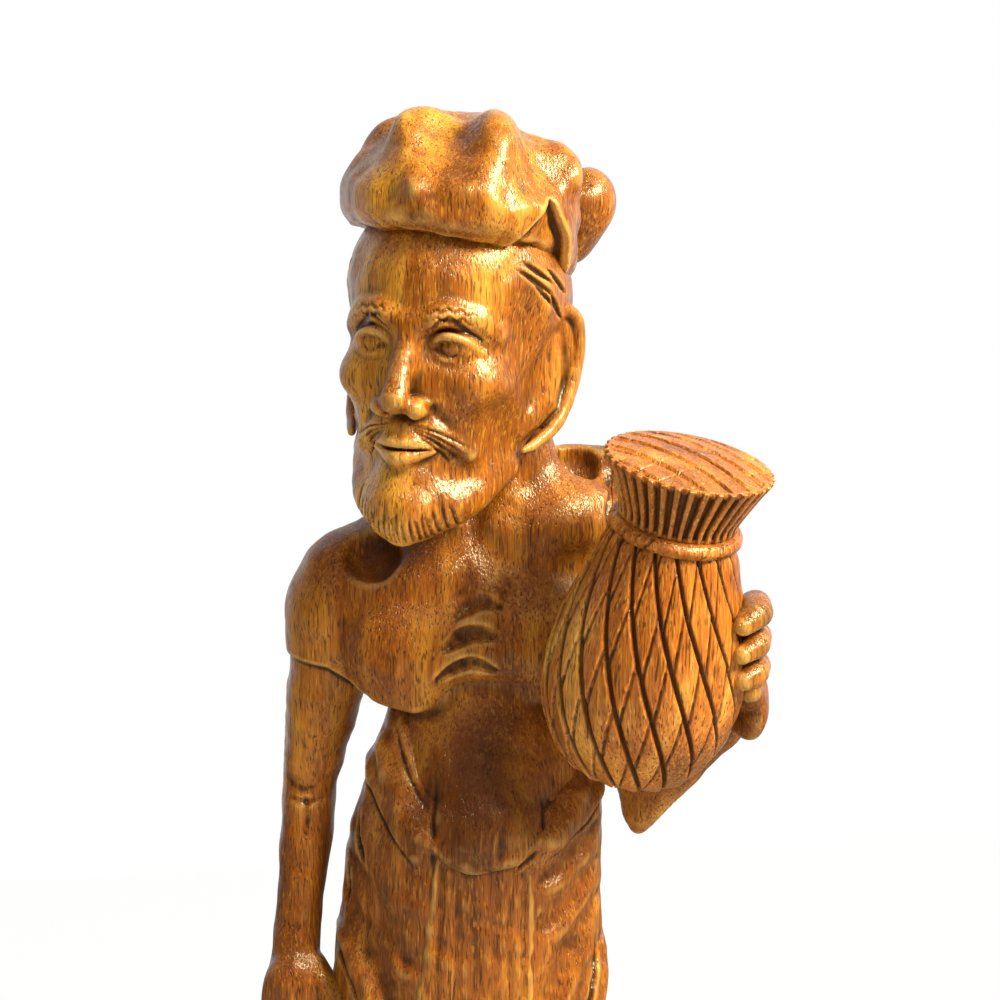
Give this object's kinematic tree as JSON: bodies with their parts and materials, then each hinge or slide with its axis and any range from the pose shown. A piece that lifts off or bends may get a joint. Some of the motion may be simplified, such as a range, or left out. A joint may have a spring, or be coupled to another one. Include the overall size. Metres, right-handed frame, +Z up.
{
  "type": "carved wooden statue",
  "caption": "Carved hardwood figure of an old bearded man in a head wrap and sarong, holding a lidded woven basket on one arm, on an oval plinth.",
  "frame": {"origin": "middle of the plinth's underside", "axes": "+Z up, -Y the way the figure's chest faces, +X towards the figure's left arm and the basket"},
  "size_m": [0.1503, 0.1284, 0.4601],
  "materials": {
    "carved_wood": "gloss lacquer over stain",
    "plinth_wood": "gloss lacquer over stain",
    "dowel_wood": "bare, unfinished",
    "screw_steel": "zinc plated"
  },
  "bodies": {
    "root": {"leg_right": "carved_wood", "leg_left": "carved_wood", "sarong": "carved_wood", "front_flap": "carved_wood", "torso": "carved_wood", "right_upper_arm": "carved_wood", "right_forearm": "carved_wood", "left_upper_arm": "carved_wood", "left_forearm": "carved_wood", "head": "carved_wood", "head_wrap": "carved_wood", "wrap_knot": "carved_wood", "basket_body": "carved_wood", "basket_ring": "carved_wood", "basket_lid": "carved_wood", "base_plinth": "plinth_wood", "neck_dowel": "dowel_wood", "waist_dowel": "dowel_wood", "right_shoulder_dowel": "dowel_wood", "right_elbow_dowel": "dowel_wood", "left_shoulder_dowel": "dowel_wood", "left_elbow_dowel": "dowel_wood", "basket_dowel": "dowel_wood", "knot_dowel": "dowel_wood", "leg_dowel_right": "dowel_wood", "leg_dowel_left": "dowel_wood", "lid_dowel": "dowel_wood", "base_screw_right": "screw_steel", "base_screw_left": "screw_steel"}
  },
  "joints": []
}
